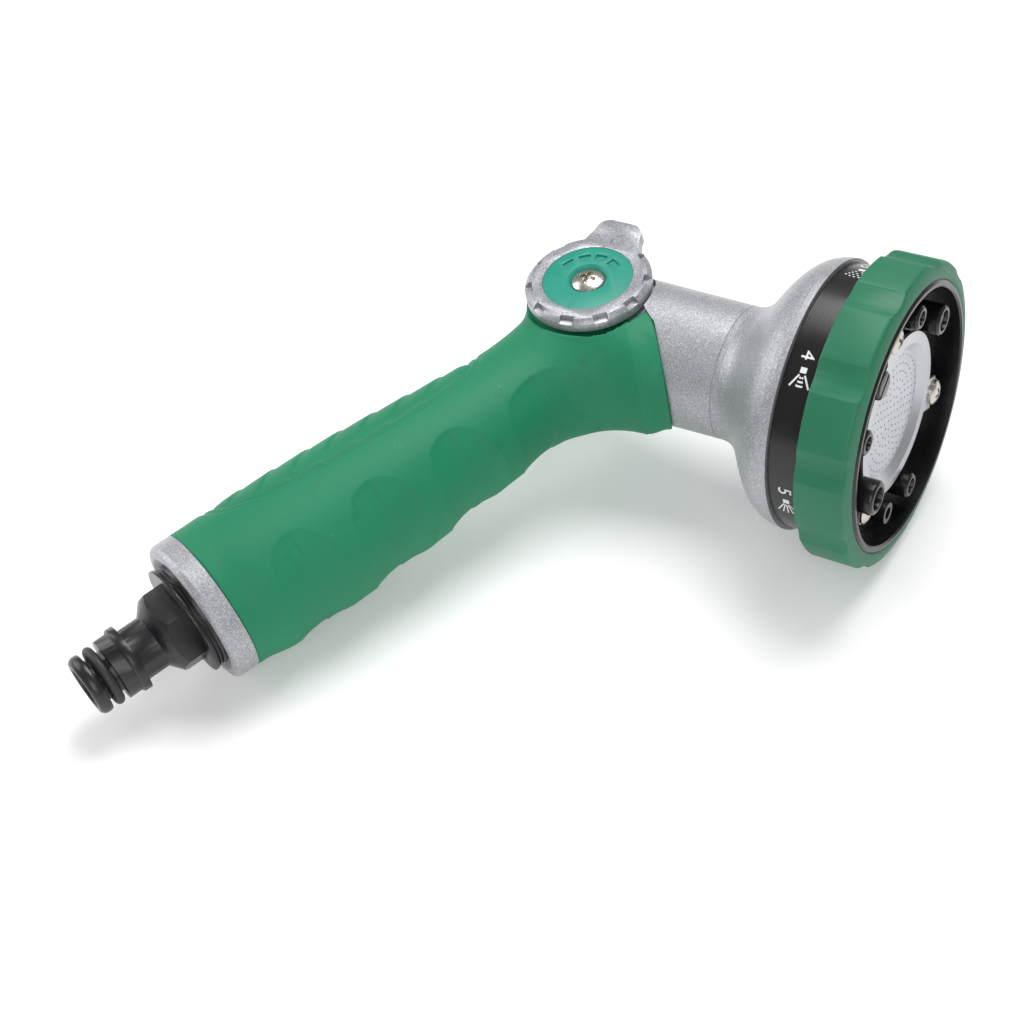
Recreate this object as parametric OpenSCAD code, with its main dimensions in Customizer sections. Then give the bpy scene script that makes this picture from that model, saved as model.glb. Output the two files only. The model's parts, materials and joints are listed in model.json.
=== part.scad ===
// Garden hose spray nozzle: cast handle with rubber grip, thumb flow valve in the elbow,
// and a turret head with six spray patterns. It lies on its side, with the valve knob uppermost.
// The elbow frame has its origin where the head, handle and valve axes meet: x runs along
// the head, z along the valve stem, and y away from the handle.

/* [Overall] */
// Angle between the spray head's axis and the handle
handle_angle = 111.6; // [100:1:125]
// Distance from the elbow centre to the front edge of the metal collar
handle_len = 117; // [100:0.5:145]
// Distance from the elbow centre to the seam between neck and bell
neck_len = 39.2; // [34:0.1:48]

/* [Handle casting] */
// Radius of the casting's tube under the grip
tube_r = 10.8; // [9.5:0.1:11.5]
// Radius of the water passage in the handle
water_r = 6.4; // [4.5:0.1:7]
// Radius of the casting's end collar
collar_r = 18; // [16.5:0.1:22]
// Length of the bare metal collar
collar_len = 5.7; // [4:0.1:9]
// Radius of the threaded socket for the inlet adapter
socket_r = 13.2; // [11:0.1:13.6]
// Depth of the threaded socket from the collar's end
socket_depth = 16; // [13:0.5:20]
// Radius of the casting inside the elbow
elbow_r = 15.4; // [14.5:0.1:16.5]
// Radius of the bare metal neck at its rear
neck_r = 17; // [16.6:0.1:19]

/* [Grip] */
// Radius of the grip over the elbow
grip_elbow_r = 18.4; // [18:0.1:20]
// Radius of the grip at its slim waist
grip_waist_r = 14.3; // [13.6:0.1:16]
// How far the grip's waist is set towards the fingers
grip_shift = 2.2; // [0:0.1:2.5]
// Height of the finger ridges
ridge_h = 0.9; // [0.3:0.1:1.5]

/* [Inlet adapter] */
// Width of the adapter's spanner hexagon across its flats
hex_af = 18.6; // [17:0.1:22]
// Radius of the flange behind the hexagon
flange_r = 13.6; // [13:0.1:16]
// Radius of the adapter's slim neck
adapter_neck_r = 6.6; // [6:0.1:7]
// Radius of the nose that enters the hose connector
nose_r = 7.6; // [7.2:0.1:8.2]
// Radius of the latching ring
latch_r = 8.3; // [8:0.1:9.2]
// Radius of the adapter's bore
inlet_r = 4.6; // [3:0.1:5]

/* [Valve] */
// Radius of the valve plug
plug_r = 9.4; // [8.2:0.1:10]
// Radius of the ports through the plug
port_r = 5.2; // [3.5:0.1:5.6]
// Radius of the plug's stem
stem_r = 4.5; // [3.5:0.1:5]
// Turn of the plug from fully open at rest
plug_turn = 45; // [0:5:90]

/* [Knob] */
// Radius of the knob
knob_r = 15.6; // [14.5:0.1:16]
// Height of the knob's top face above the elbow centre
knob_top = 19.4; // [19:0.1:22]
// Thickness of the knob's rim
knob_t = 4.2; // [3:0.1:5]
// Radius of the coloured insert
insert_r = 11.1; // [9.5:0.1:12]
// Reach of the thumb tab from the knob's axis
tab_reach = 20.2; // [18:0.1:24]
// Width of the thumb tab
tab_w = 12.4; // [9:0.1:15]
// Number of notch places around the knob's rim
notch_places = 11; // [8:1:16]

/* [Turret] */
// Radius of the bell's mouth
bell_r = 32.8; // [31.5:0.1:40]
// Length of the bell from the seam to its mouth
bell_len = 22; // [20:0.1:28]
// Length of the label band
band_len = 8; // [5:0.1:12]
// Length of the turret's grip ring
ring_len = 13; // [10:0.1:18]
// Outer radius of the turret's grip ring
ring_r = 36.6; // [35.5:0.1:44]
// Number of scallops around the grip ring
scallops = 11; // [8:1:16]
// Depth of each scallop
scallop_depth = 1; // [0.4:0.1:1.4]
// Radius of the pivot post
post_r = 6; // [4.5:0.1:6.5]

/* [Spray face] */
// Depth of the face behind the rim
face_depth = 6.2; // [5:0.1:8]
// Radius of the shower plate
rose_r = 19.8; // [18:0.1:20.6]
// Radius of the perforated area
perforated_r = 14; // [10:0.5:15]
// Radius of the circle that the spray jets stand on
jet_circle = 24.4; // [24:0.1:25]
// Radius of the circle that the shower plate's screws stand on
screw_circle = 23.6; // [23:0.1:24.5]
// Length of the jet tube past the rim
jet_reach = 2.2; // [0:0.1:5]

/* [Fits] */
// Radial clearance of the running fits
run_gap = 0.05; // [0.02:0.01:0.1]
// Gap between curved faces that move past each other
move_gap = 0.4; // [0.3:0.05:0.8]

/* [Hidden] */
$fn = 96;
wall = 2;

// Lying pose: the grip ring and the collar both touch the ground.
slope = 180 - handle_angle;
bell_x = neck_len + bell_len;
band_x = bell_x + move_gap;
ring_x = band_x + band_len;
rim_x = ring_x + ring_len;
collar_at = [-handle_len * cos(slope), -handle_len * sin(slope)];
to_head = [ring_x, 0] - collar_at;
lean = atan2(to_head.y, to_head.x);
tilt = asin((ring_r - collar_r) / norm(to_head));

// Inlet adapter, measured outwards from the collar's front edge.
adapter_s = collar_len + 1.8;
flange_t = 0.8;
thread_r = socket_r - 0.9;
thread_pitch = 0.9;
thread_root = 0.5;
hex_len = 5.8;
hex_taper = 2.4;
adapter_neck_len = 5.8;
latch_len = 2.2;
latch_step = 3.2;
ring_wire = 1.15;
nose_len = 7.2;
bead_len = 2.9;
hex_turn = 36;
groove_r = nose_r - 2 * ring_wire;
tip_s = adapter_s + flange_t + hex_len + hex_taper + adapter_neck_len + latch_len
        + latch_step + nose_len;
// The part's origin is on the coupling nose, at the middle of its plain land.
origin_len = handle_len + tip_s - nose_len - latch_step / 2;
washer_depth = 2;
adapter_grip = socket_depth - collar_len + adapter_s - washer_depth;
filter_t = 0.6;
filter_r = 9.5;

// Grip: the front edge is a plane across the elbow.
edge_angle = 34.8;
edge_offset = 13.8;
grip_joint = 0.1;
seat_z = knob_top - knob_t - 0.7;
seat_r = knob_r + move_gap;
seat_low = seat_z - 6;
edge_bend_z = 15.9;
edge_bend = 65;
valve_boss_r = plug_r + wall;
waist_s = handle_len - 31;
sleeve_r = neck_r + 0.8;
tube_start = 15;
crook_r = 15;
crook_half = 9;

// Valve, along the stem's axis.
plug_low = -11;
plug_top = 7.6;
bonnet_low = plug_top + 0.4;
stem_top = knob_top - 3;
flat_depth = 1.1;
insert_t = 1.6;
screw_head_r = 4.1;
screw_head_h = 2;
screw_well_r = screw_head_r + 0.15;
well_flare = 0.8;
notch_w = 3.4;
notch_in = 1.9;
notch_h = 1.3;
notch_start = 16.4;
tab_clear = 34;
tab_rise = 16;
marks = 4;
mark_r = 8.6;
mark_depth = 0.5;
mark_start = 155;
mark_pitch = 31;
mark_w = 21;
o_ring_r = 0.9;
stem_ring_r = 0.7;

// Spray jets: turn about the head's axis, head radius, bore radius, pin radius.
cone_jet = [118, 3.7, 2.5, 1.5];
tube_jet = [273, 4.1, 2.7, 0];
flat_jet = [209, 3.4, 0, 0];
mist_jets = [[2, 3.1, 1.9, 0.9], [240, 3, 1.7, 0.8], [156, 2.9, 1.7, 0.9]];
drip_jet = [332, 2.6, 1.5, 0];
jet_spigot = 0.9;
bore_r = 0.45;
screw_turns = [60, 180, 300];

// Each pattern has a chamber. Its walls run straight out between the feed holes, then bend
// to pass between the jets.
wall_turns = [31, 92, 137, 182.5, 256.5, 302.5];
patterns = len(wall_turns);
pattern_turn = 360 / patterns;
shower_chamber = 1;

// Turret and port plate, along the head's axis.
spigot_r = 12;
bell_hub_r = spigot_r + wall;
spigot_x = neck_len + 9.8;
hub_end = neck_len + 7.8;
seam = 0.2;
port_gap = 0.5;
back_gap = 2.5;
turret_back = bell_x - back_gap;
plate_t = 3.2;
plate_x = turret_back - port_gap - plate_t;
plate_r = bell_r - 6;
hub_t = 3.4;
hub_r = 19.5;
feed_r = 14.5;
feed_bore = 3.6;
feed_slot_h = 2.4;
seal_r = 5;
seal_t = 1.8;
port_turn = 180;
plate_screw_turns = [port_turn - 120, port_turn + 120];
plate_screw_circle = 9.3;
plate_screw_r = 1.3;
plate_screw_head = 2.6;
plate_screw_x = plate_x + plate_t - 2;
plate_screw_len = 12;
ball_r = 1.6;
dimple = 0.6;
detent_circle = 17.4;
detent_step = pattern_turn / 2;
detent_turn = detent_step / 2;
pocket_x = plate_x - 1.8;
back_t = 3;
back_r = bell_r - wall - 1;
band_r = bell_r - 1;
cup_r = band_r - 3;
rim_r = ring_r - 4.2;
mouth_r = rim_r - 1.7;
face_t = 2.5;
face_r = mouth_r - 0.7;
face_x = rim_x - face_depth - face_t;
turret_hub_r = post_r + 3;
rib_w = 1.6;
well_r = turret_hub_r + 1.4;
window_w = 8;
bend_r = 18.6;
post_end = ring_x - 0.2;
pivot_ring_x = turret_back + 3;
pivot_r = 1.9;
pivot_len = 9;
washer_h = 0.8;
scallop_r = 10.4;
scallop_centre = ring_r - scallop_depth + scallop_r;
scallop_turn = 19;

// Shower plate.
rose_x = rim_x - 4.2;
rose_t = 0.8;
rose_step = 1.6;
rose_rings = 7;
rose_hole_r = 0.25;
rose_ear_r = 3.3;
rose_screw_r = 1.3;
rose_screw_len = 4;

silver = [0.72, 0.72, 0.74];
green = [0.13, 0.52, 0.35];
teal = [0.16, 0.62, 0.50];
black = [0.13, 0.13, 0.14];
steel = [0.80, 0.80, 0.82];

// Placing

module lay_down() {
    rotate([0, -tilt, 0]) rotate([0, 0, -lean])
        translate([origin_len * cos(slope), origin_len * sin(slope), 0]) children();
}

// z runs from the collar's front edge to the elbow, and -y is the finger side.
module on_handle(s = 0) {
    rotate([0, 0, slope]) rotate([0, 90, 0]) translate([0, 0, s - handle_len]) children();
}

// z runs forwards along the head from x.
module on_head(x = 0) {
    translate([x, 0, 0]) rotate([0, 90, 0]) children();
}

module at_turn(angle, radius) {
    rotate([0, 0, angle]) translate([radius, 0, 0]) children();
}

module ring(r_out, r_in, h) {
    difference() {
        cylinder(r = r_out, h = h);
        translate([0, 0, -1]) cylinder(r = r_in, h = h + 2);
    }
}

module o_ring(r_mid, wire) {
    rotate_extrude() translate([r_mid, 0]) circle(r = wire, $fn = 32);
}

function bezier(a, b, c, d, steps) =
    [for (i = [0 : steps]) let (t = i / steps, u = 1 - t)
        u * u * u * a + 3 * t * u * u * b + 3 * t * t * u * c + t * t * t * d];

// A round-wire coil with closed flat ends, standing on z = 0.
module coil(r_mid, wire, height, turns) {
    sides = 8;
    steps = 14;
    count = ceil(turns * steps);
    rise = height - 2 * wire;
    points = [for (i = [0 : count], k = [0 : sides - 1])
        let (a = 360 * turns * i / count, b = 360 * k / sides, r = r_mid + wire * cos(b))
            [r * cos(a), r * sin(a), wire + rise * i / count + wire * sin(b)]];
    polyhedron(points, concat(
        [[for (k = [0 : sides - 1]) k]],
        [for (i = [0 : count - 1], k = [0 : sides - 1]) let (n = (k + 1) % sides)
            [i * sides + k, (i + 1) * sides + k, (i + 1) * sides + n, i * sides + n]],
        [[for (k = [sides - 1 : -1 : 0]) count * sides + k]]));
}

// A pan screw head on z = 0, with its cross recess and the shank below.
module pan_screw(head_r, head_h, shank_r, shank_len) {
    slot = head_r * 0.26;
    difference() {
        union() {
            intersection() {
                cylinder(r = head_r, h = head_h);
                dome_r = (head_r * head_r + head_h * head_h) / head_h * 0.72;
                translate([0, 0, head_h - dome_r]) sphere(r = dome_r);
            }
            translate([0, 0, -shank_len]) cylinder(r = shank_r, h = shank_len + 0.01);
        }
        for (a = [0, 90]) rotate([0, 0, a])
            translate([-head_r * 0.52, -slot / 2, head_h * 0.35])
                cube([head_r * 1.04, slot, head_h]);
    }
}

// Handle

// Everything behind the grip's front edge, moved forwards by extra. The edge is a plane that
// leans back under the knob at its top.
module behind_edge(extra = 0) {
    big = 400;
    rotate([0, 0, edge_angle]) intersection() {
        translate([edge_offset + extra - big, -big / 2, -big / 2]) cube([big, big, big]);
        translate([edge_offset + extra, 0, edge_bend_z]) rotate([0, -edge_bend, 0])
            translate([-big, -big / 2, -big / 2]) cube([big, big, big]);
    }
}

module knob_pocket() {
    translate([0, 0, seat_z]) cylinder(r = seat_r, h = 20);
}

// The casting as the grip sees it: tube, swollen end and elbow.
module casting_core() {
    on_handle(0) {
        cylinder(r = collar_r - 2.4, h = tube_start - 4);
        translate([0, 0, tube_start - 4])
            cylinder(r1 = collar_r - 2.4, r2 = tube_r, h = 7);
        cylinder(r = tube_r, h = handle_len);
    }
    sphere(r = elbow_r);
    cylinder(r = valve_boss_r, h = seat_z);
    on_head(0) cylinder(r = elbow_r, h = neck_len);
}

module body_casting() lay_down() color(silver) difference() {
    union() {
        difference() {
            casting_core();
            knob_pocket();
        }
        difference() {
            on_head(0) rotate_extrude() polygon([[0, 0], [neck_r, 0],
                [neck_r - 0.5, neck_len - seam], [neck_r - 0.5 - seam, neck_len],
                [0, neck_len]]);
            behind_edge(grip_joint);
            translate([0, 0, seat_low]) cylinder(r = seat_r + grip_joint, h = 30);
        }
        on_handle(-collar_len) rotate_extrude() polygon([[0, 0], [collar_r - 1.4, 0],
            [collar_r - 0.5, 0.4], [collar_r, 1.4], [collar_r, collar_len], [0, collar_len]]);
        on_head(neck_len - 1) cylinder(r = spigot_r, h = spigot_x - neck_len + 1);
    }
    on_handle(-collar_len - 1) cylinder(r = socket_r + run_gap, h = socket_depth + 1);
    on_handle(-collar_len - 1) cylinder(r1 = collar_r - 1.6, r2 = socket_r, h = 3);
    on_handle(socket_depth - collar_len - 1) cylinder(r = filter_r, h = filter_t + 1);
    on_handle(0) cylinder(r = water_r, h = handle_len);
    on_head(0) cylinder(r = water_r, h = spigot_x + 1);
    translate([0, 0, plug_low - 0.1]) cylinder(r = plug_r + run_gap, h = 40);
    on_head(plate_screw_x - plate_screw_len) for (a = plate_screw_turns)
        at_turn(a, plate_screw_circle) cylinder(r = plate_screw_r, h = plate_screw_len);
}

// Radius of the grip along the handle, s from the collar's front edge.
grip_line = concat([[-1, collar_r]],
    bezier([4, collar_r], [40, collar_r + 0.9], [58, grip_waist_r + 1.6],
           [waist_s, grip_waist_r], 14),
    bezier([waist_s + 4, grip_waist_r], [waist_s + 12, grip_waist_r + 0.3],
           [waist_s + 18, grip_waist_r + 1.6], [handle_len - 7, grip_elbow_r - 1.2], 8));
grip_lean = atan2(grip_shift, waist_s);
ridges = [13, 33, 55, 79];

module grip_outer() {
    on_handle(0) rotate([grip_lean, 0, 0]) {
        rotate_extrude() polygon(concat([[0, -1]], [for (p = grip_line) [p.y, p.x]],
            [[0, handle_len - 7]]));
        for (i = [0 : len(ridges) - 1]) {
            mid_r = lookup(ridges[i], grip_line);
            translate([0, -ridge_h, ridges[i]]) rotate_extrude() polygon(concat(
                [[0, -9]], bezier([mid_r - 1, -9], [mid_r, -4], [mid_r + 0.35, -3],
                [mid_r + 0.35, 0], 4), bezier([mid_r + 0.35, 0], [mid_r + 0.35, 3],
                [mid_r, 4], [mid_r - 1, 9], 4), [[0, 9]]));
        }
    }
    sphere(r = grip_elbow_r);
    on_head(0) cylinder(r = sleeve_r, h = neck_len - 6);
    crook_fillet();
}

// The web of rubber in the crook, between handle and neck.
module crook_fillet() {
    half = handle_angle / 2;
    centre = (sleeve_r + crook_r - 0.4) / sin(half);
    rotate([0, 0, -half]) linear_extrude(height = 2 * crook_half, center = true)
        difference() {
            polygon([[0, 0], [centre - crook_r * sin(half), crook_r * cos(half)],
                [centre, 0], [centre - crook_r * sin(half), -crook_r * cos(half)]]);
            translate([centre, 0]) circle(r = crook_r);
        }
}

module grip_sleeve() lay_down() color(green) difference() {
    union() {
        intersection() {
            grip_outer();
            behind_edge();
        }
        translate([0, 0, seat_low]) cylinder(r = seat_r, h = seat_z - seat_low);
    }
    casting_core();
    on_handle(-20) cylinder(r = 2 * collar_r, h = 20);
    knob_pocket();
}

// Inlet

module inlet_adapter() lay_down() color(black) on_handle(0) {
    s1 = adapter_s + flange_t;
    s2 = s1 + hex_len;
    s3 = s2 + hex_taper;
    s4 = s3 + adapter_neck_len;
    s5 = s4 + latch_len;
    s6 = s5 + latch_step;
    difference() {
        union() {
            translate([0, 0, -adapter_s]) cylinder(r = socket_r, h = adapter_grip);
            translate([0, 0, -s1]) cylinder(r = flange_r, h = flange_t);
            translate([0, 0, -s2]) intersection() {
                rotate([0, 0, hex_turn])
                    cylinder(r = hex_af / 2 / cos(30), h = hex_len, $fn = 6);
                cylinder(r1 = hex_af / 2 + 0.2, r2 = hex_af / 2 + 0.2 + hex_len, h = hex_len);
            }
            translate([0, 0, -s3])
                cylinder(r1 = adapter_neck_r, r2 = hex_af / 2 + 0.2, h = hex_taper);
            rotate_extrude() polygon(concat([[0, -s3], [adapter_neck_r, -s3],
                [adapter_neck_r, -s4], [latch_r, -s4], [latch_r, -s5 + 0.5],
                [latch_r - 0.5, -s5], [nose_r, -s5], [nose_r, -s6],
                [groove_r, -s6], [groove_r, bead_len - tip_s]],
                bezier([nose_r - 0.6, bead_len - tip_s], [nose_r, bead_len - tip_s],
                    [nose_r, -tip_s + 1.4], [nose_r - 0.3, -tip_s + 0.7], 6),
                [[nose_r - 1, -tip_s], [0, -tip_s]]));
        }
        translate([0, 0, -tip_s - 1]) cylinder(r = inlet_r, h = tip_s + adapter_grip + 2);
        translate([0, 0, -tip_s - 0.01]) cylinder(r1 = inlet_r + 1, r2 = inlet_r, h = 1.2);
        for (s = [-adapter_s, -adapter_s + thread_pitch])
            translate([0, 0, s]) ring(socket_r + 1, thread_r, thread_root);
    }
}

module coupling_o_ring() lay_down() color(black)
    on_handle((nose_len + bead_len) / 2 - tip_s) o_ring(groove_r + ring_wire, ring_wire);

module inlet_washer() lay_down() color([0.2, 0.2, 0.2])
    on_handle(adapter_grip - adapter_s) ring(socket_r - 0.2, water_r + 0.6, washer_depth);

module inlet_filter() lay_down() color(steel)
    on_handle(adapter_grip - adapter_s + washer_depth) difference() {
        cylinder(r = filter_r - 0.1, h = filter_t);
        for (x = [-4.5 : 1.5 : 4.5], y = [-4.5 : 1.5 : 4.5])
            if (norm([x, y]) < water_r - 0.9)
                translate([x, y, -1]) cylinder(r = 0.45, h = 3);
    }

// Valve

module valve_plug() lay_down() color(teal) difference() {
    union() {
        translate([0, 0, plug_low]) cylinder(r = plug_r, h = plug_top - plug_low);
        translate([0, 0, plug_top - 0.01]) cylinder(r = stem_r, h = stem_top - plug_top);
    }
    rotate([0, 0, plug_turn]) {
        on_head(0) cylinder(r = port_r, h = 20);
        rotate([0, 0, 180 - handle_angle + 180]) on_head(0) cylinder(r = port_r, h = 20);
        sphere(r = port_r);
    }
    for (z = [plug_low + 2, plug_top - 1.4])
        translate([0, 0, z]) o_ring(plug_r - o_ring_r, o_ring_r + 0.02);
    translate([0, 0, bonnet_low + 3]) o_ring(stem_r - stem_ring_r, stem_ring_r + 0.02);
    for (side = [0, 180]) rotate([0, 0, side])
        translate([stem_r - flat_depth, -10, knob_top - knob_t - 0.4]) cube([10, 20, 20]);
    translate([0, 0, stem_top - 9]) cylinder(r = 1.6, h = 20);
}

module plug_o_rings() lay_down() color(black)
    for (z = [plug_low + 2, plug_top - 1.4])
        translate([0, 0, z]) o_ring(plug_r - o_ring_r, o_ring_r);

module valve_bonnet() lay_down() color([0.75, 0.6, 0.3])
    translate([0, 0, bonnet_low]) difference() {
        ring(plug_r + run_gap, stem_r + run_gap, seat_z - bonnet_low - 0.4);
        for (a = [0, 90, 180, 270])
            at_turn(a, (plug_r + stem_r) / 2)
                translate([0, 0, seat_z - bonnet_low - 1.9]) cylinder(r = 0.9, h = 3);
    }

module stem_o_ring() lay_down() color(black)
    translate([0, 0, bonnet_low + 3]) o_ring(stem_r - stem_ring_r, stem_ring_r);

// Knob

module tab_outline() {
    round_r = 3.4;
    base_w = tab_w + 5;
    difference() {
        union() {
            for (side = [-1, 1]) translate([side * (tab_w / 2 - round_r), tab_reach - round_r])
                circle(r = round_r);
            translate([-tab_w / 2 + round_r, 6]) square([tab_w - 2 * round_r, tab_reach - 6]);
            polygon([[-base_w / 2, 10], [base_w / 2, 10], [tab_w / 2, tab_reach - round_r],
                [-tab_w / 2, tab_reach - round_r]]);
        }
        circle(r = insert_r + 1.4);
    }
}

module knob() lay_down() color(silver) difference() {
    low = knob_top - knob_t;
    union() {
        rotate_extrude() polygon([[0, low], [knob_r - 0.9, low], [knob_r, low + 0.9],
            [knob_r, knob_top - 1.1], [knob_r - 1.1, knob_top], [0, knob_top]]);
        translate([0, knob_r - 3, knob_top - 3]) rotate([tab_rise, 0, 0])
            translate([0, 3 - knob_r, 0]) linear_extrude(height = 3) tab_outline();
    }
    translate([0, 0, knob_top - insert_t]) cylinder(r = insert_r + 0.05, h = 5);
    for (i = [0 : notch_places - 1]) {
        turn = notch_start + i * 360 / notch_places;
        if (abs(turn - 90) > tab_clear)
            at_turn(turn, knob_r - notch_in) translate([0, -notch_w / 2, knob_top - notch_h])
                cube([2 * notch_in, notch_w, 2 * notch_h]);
    }
    translate([0, 0, low - 1]) intersection() {
        cylinder(r = stem_r + 0.03, h = stem_top + 1.03 - low);
        cube([2 * (stem_r - flat_depth) + 0.06, 20, 40], center = true);
    }
    cylinder(r = 1.6, h = 40);
}

// A flow mark: a sector of a ring, w degrees wide and t thick, sunk into the insert.
module flow_mark(turn, w, t) {
    rotate([0, 0, turn]) translate([0, 0, insert_t - 0.1 - mark_depth]) intersection() {
        ring(mark_r, mark_r - t, 2);
        rotate([0, 0, -w / 2]) translate([0, 0, -1]) cube([20, 20, 4]);
        rotate([0, 0, w / 2 - 90]) translate([0, 0, -1]) cube([20, 20, 4]);
    }
}

module knob_insert() lay_down() color(teal) translate([0, 0, knob_top - insert_t])
    difference() {
        cylinder(r = insert_r, h = insert_t - 0.1);
        translate([0, 0, -1]) cylinder(r = screw_well_r, h = 10);
        translate([0, 0, insert_t - 1])
            cylinder(r1 = screw_well_r, r2 = screw_well_r + well_flare, h = 0.91);
        // The flow marks grow as the water is turned up.
        for (i = [0 : marks - 1])
            flow_mark(mark_start - mark_pitch * i, mark_w, 0.6 + 0.5 * i);
    }

module knob_screw() lay_down() color(steel) translate([0, 0, knob_top - insert_t])
    pan_screw(screw_head_r, screw_head_h, 1.6, 8);

// Head

bell_outside = bezier([neck_len + seam, neck_r - 0.5], [neck_len + 10.3, neck_r - 0.5],
    [neck_len + 10.3, bell_r], [bell_x, bell_r], 22);
bell_inside = bezier([hub_end, bell_hub_r], [neck_len + 12.6, bell_hub_r],
    [neck_len + 12.6, bell_r - wall], [bell_x, bell_r - wall], 18);

module bell() lay_down() color(silver) on_head(0) rotate_extrude() {
    back = len(bell_inside) - 1;
    polygon(concat([[spigot_r, neck_len], [neck_r - 0.5 - seam, neck_len]],
        [for (p = bell_outside) [p.y, p.x]],
        [for (i = [back : -1 : 0]) [bell_inside[i].y, bell_inside[i].x]],
        [[spigot_r, hub_end]]));
}

module port_plate() lay_down() color(black) on_head(0) difference() {
    union() {
        translate([0, 0, plate_x]) cylinder(r = plate_r, h = plate_t);
        translate([0, 0, plate_x - hub_t]) cylinder(r = hub_r, h = hub_t + 0.1);
        translate([0, 0, spigot_x]) cylinder(r = bell_hub_r, h = plate_x - spigot_x);
        translate([0, 0, plate_x]) cylinder(r = post_r, h = post_end - plate_x);
    }
    translate([0, 0, spigot_x - 1]) cylinder(r = water_r, h = plate_x - spigot_x + 1);
    translate([0, 0, plate_x - feed_slot_h]) rotate([0, 0, port_turn])
        linear_extrude(height = feed_slot_h) {
            translate([0, -feed_bore]) square([feed_r, 2 * feed_bore]);
            translate([feed_r, 0]) circle(r = feed_bore);
        }
    at_turn(port_turn, feed_r) translate([0, 0, plate_x - 1]) cylinder(r = feed_bore, h = 9);
    at_turn(port_turn, feed_r) translate([0, 0, plate_x]) cylinder(r = seal_r + run_gap, h = 9);
    at_turn(detent_turn, detent_circle)
        translate([0, 0, pocket_x]) cylinder(r = ball_r + run_gap, h = 9);
    translate([0, 0, post_end - pivot_len]) cylinder(r = pivot_r, h = pivot_len + 1);
    translate([0, 0, pivot_ring_x]) o_ring(post_r - o_ring_r, o_ring_r + 0.02);
    for (a = plate_screw_turns) at_turn(a, plate_screw_circle) {
        translate([0, 0, spigot_x - 1]) cylinder(r = plate_screw_r, h = 20);
        translate([0, 0, plate_screw_x]) cylinder(r = plate_screw_head, h = 20);
    }
}

module port_plate_screws() lay_down() color(steel) on_head(0)
    for (a = plate_screw_turns) at_turn(a, plate_screw_circle)
        translate([0, 0, plate_screw_x])
            pan_screw(plate_screw_head - 0.1, 1.6, plate_screw_r, plate_screw_len);

module port_seal() lay_down() color(black) on_head(turret_back - seal_t - run_gap)
    at_turn(port_turn, feed_r) ring(seal_r, feed_bore - 0.3, seal_t);

module port_spring() lay_down() color(steel) on_head(plate_x)
    at_turn(port_turn, feed_r) coil(seal_r - 0.5, 0.3, plate_t + port_gap - seal_t - run_gap, 2);

module detent_ball() lay_down() color(steel) on_head(turret_back - run_gap - ball_r)
    at_turn(detent_turn, detent_circle) sphere(r = ball_r);

module detent_spring() lay_down() color(steel) on_head(pocket_x)
    at_turn(detent_turn, detent_circle)
        coil(ball_r - 0.35, 0.22, turret_back - run_gap - 2 * ball_r - pocket_x, 3);

module pivot_o_ring() lay_down() color(black)
    on_head(pivot_ring_x) o_ring(post_r - o_ring_r, o_ring_r);

// Turret

module turret() lay_down() color(black) on_head(0) difference() {
    union() {
        rotate_extrude() polygon([[post_r + run_gap, turret_back], [back_r, turret_back],
            [back_r, band_x], [band_r, band_x], [band_r, ring_x], [rim_r, ring_x],
            [rim_r, rim_x - 0.5], [rim_r - 0.5, rim_x], [mouth_r + 0.4, rim_x],
            [mouth_r, rim_x - 0.4], [mouth_r, face_x + face_t],
            [face_r + run_gap, face_x + face_t], [face_r + run_gap, face_x],
            [cup_r, face_x], [cup_r, turret_back + back_t],
            [well_r, turret_back + back_t], [well_r, face_x], [turret_hub_r, face_x],
            [turret_hub_r, post_end - 0.1], [post_r + run_gap, post_end - 0.1]]);
        for (i = [0 : patterns - 1]) chamber_wall((i + 0.5) * pattern_turn, wall_turns[i]);
    }
    rotate([0, 0, shower_chamber * pattern_turn])
        translate([turret_hub_r - 2, -window_w / 2, post_end + 0.4])
            cube([4, window_w, face_x - post_end]);
    for (i = [0 : patterns - 1]) {
        at_turn(i * pattern_turn, feed_r)
            translate([0, 0, turret_back - 1]) cylinder(r = feed_bore - 0.6, h = back_t + 2);
    }
    // The turret clicks at each pattern and, with the water shut off, halfway to the next.
    for (i = [0 : 2 * patterns - 1]) at_turn(detent_turn + i * detent_step, detent_circle)
        translate([0, 0, turret_back - ball_r + dimple]) sphere(r = ball_r + 0.15);
}

function polar(turn, radius) = [radius * cos(turn), radius * sin(turn)];

// A wall between two chambers: straight out to the bend, then across to the cup.
module chamber_wall(inner_turn, outer_turn) {
    low = turret_back + back_t - 0.1;
    start = polar(inner_turn, well_r - 0.7);
    bend = polar(inner_turn, bend_r);
    end = polar(outer_turn, cup_r + 0.7);
    side_in = polar(inner_turn + 90, rib_w / 2);
    side_out = polar(atan2((end - bend).y, (end - bend).x) + 90, rib_w / 2);
    side_bend = (side_in + side_out) / (1 + 4 * side_in * side_out / (rib_w * rib_w));
    translate([0, 0, low]) linear_extrude(height = face_x - low)
        polygon([start + side_in, bend + side_bend, end + side_out,
            end - side_out, bend - side_bend, start - side_in]);
}

module pivot_washer() lay_down() color(steel)
    on_head(post_end) ring(turret_hub_r - 0.8, pivot_r, washer_h);

module pivot_screw() lay_down() color(steel) on_head(post_end + washer_h)
    pan_screw(4.2, 2.4, pivot_r, pivot_len + washer_h - 1);

module turret_grip() lay_down() color(green) on_head(0) difference() {
    rotate_extrude() polygon([[rim_r, ring_x], [ring_r - 0.5, ring_x], [ring_r, ring_x + 0.5],
        [ring_r, rim_x - 1.9], [ring_r - 0.4, rim_x - 1.2], [rim_r + 0.9, rim_x - 0.3],
        [rim_r, rim_x - 0.5]]);
    for (i = [0 : scallops - 1]) at_turn(scallop_turn + i * 360 / scallops, scallop_centre)
        translate([0, 0, ring_x - 1]) cylinder(r = scallop_r, h = ring_len + 2);
}

// Spray face

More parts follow.
